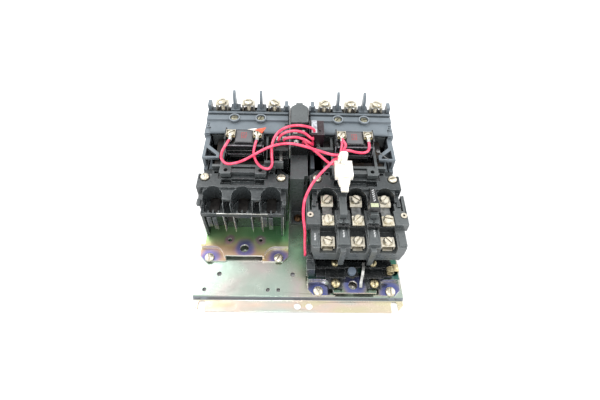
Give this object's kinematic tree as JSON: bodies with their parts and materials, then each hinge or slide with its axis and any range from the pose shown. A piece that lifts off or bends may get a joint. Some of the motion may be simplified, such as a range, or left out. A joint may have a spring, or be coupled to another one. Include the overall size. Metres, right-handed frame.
{
  "type": "magnetic motor starter",
  "caption": "Open reversing motor starter: paired three-pole contactors and an overload relay on a bent mounting plate with a mechanical interlock.",
  "frame": {"origin": "middle of the mounting plate's footprint, on the mounting surface", "axes": "+Z leaves the mounting surface, +Y runs from the load terminals and overload relay to the line terminals, +X to the contactor that carries the relay"},
  "size_m": [0.197, 0.208, 0.1015],
  "materials": {
    "zinc_plate": "iridescent yellow chromate over zinc, worn and scratched",
    "block_plastic": "moulded, satin, slightly worn edges",
    "grey_plastic": "moulded blue-grey arc-resistant plastic, worn",
    "relay_plastic": "moulded charcoal plastic",
    "screw_steel": "plated, slotted, pale champagne",
    "screw_brass": "yellow chromate plated",
    "saddle_steel": "plated pressed clamps",
    "contact_copper": "plain copper with silver tips",
    "core_iron": "laminated iron, dark",
    "spring_steel": "bare spring wire",
    "coil_black": "moulded coil case, satin",
    "coil_plate": "dark printed plate, left blank",
    "strap_grey": "tinned strap, dulled",
    "wire_red": "red insulation, semi-gloss",
    "tie_white": "white nylon",
    "button_blue": "blue-grey moulded button"
  },
  "bodies": {
    "root": {"base_plate": "zinc_plate", "left_bracket": "zinc_plate", "right_bracket": "zinc_plate", "bracket_screws": "screw_steel", "left_load_block": "block_plastic", "right_load_block": "block_plastic", "load_block_screws": "screw_steel", "left_contact_body": "grey_plastic", "right_contact_body": "grey_plastic", "left_contact_cover": "grey_plastic", "right_contact_cover": "grey_plastic", "cover_screws": "screw_brass", "left_magnet_core": "core_iron", "right_magnet_core": "core_iron", "left_coil": "coil_black", "right_coil": "coil_black", "coil_plates": "coil_plate", "coil_terminals": "screw_brass", "coil_screws": "screw_steel", "line_contacts": "contact_copper", "load_contacts": "contact_copper", "line_clamps": "saddle_steel", "line_screws": "screw_steel", "phase_barriers": "grey_plastic", "interlock_housing": "relay_plastic", "interlock_cap": "relay_plastic", "interlock_pin": "spring_steel", "interlock_screw": "screw_brass", "left_aux_block": "block_plastic", "right_aux_block": "block_plastic", "centre_aux_block": "block_plastic", "relay_base": "block_plastic", "relay_body": "relay_plastic", "relay_straps": "strap_grey", "relay_line_clamps": "saddle_steel", "heater_screws": "screw_steel", "relay_load_clamps": "saddle_steel", "relay_screws": "screw_brass", "relay_rivets": "saddle_steel", "relay_label": "block_plastic", "reset_spring": "contact_copper", "relay_contact_block": "block_plastic", "wire_left_coil_a": "wire_red", "wire_left_coil_b": "wire_red", "wire_aux_links": "wire_red", "wire_right_coil": "wire_red", "wire_relay": "wire_red", "cable_tie": "tie_white"},
    "left_carriage": {"left_crossbar": "relay_plastic", "left_armature": "core_iron", "left_moving_contacts": "contact_copper", "left_contact_springs": "spring_steel", "left_aux_plunger": "spring_steel"},
    "right_carriage": {"right_crossbar": "relay_plastic", "right_armature": "core_iron", "right_moving_contacts": "contact_copper", "right_contact_springs": "spring_steel", "right_aux_plunger": "spring_steel"},
    "lever": {"interlock_lever": "screw_brass"},
    "reset": {"reset_button": "button_blue"}
  },
  "joints": [
    {"name": "left_carriage_slide", "type": "slide", "parent": "root", "child": "left_carriage", "axis": [0, 1, 0], "range_m": [0, 0.005], "stiffness_N_per_m": 600, "springref_m": -0.004},
    {"name": "right_carriage_slide", "type": "slide", "parent": "root", "child": "right_carriage", "axis": [0, 1, 0], "range_m": [0, 0.005], "stiffness_N_per_m": 600, "springref_m": -0.004},
    {"name": "interlock_rock", "type": "hinge", "parent": "root", "child": "lever", "pos_m": [-0.0009, 0.025, 0.0545], "axis": [0, 0, 1], "range_deg": [-14, 0.5]},
    {"name": "reset_press", "type": "slide", "parent": "root", "child": "reset", "axis": [0, 0, -1], "range_m": [0, 0.0025], "stiffness_N_per_m": 400, "springref_m": -0.001}
  ],
  "couplings": [
    {"joint": "interlock_rock", "follows": "left_carriage_slide", "rad_per_m": -47.1}
  ]
}
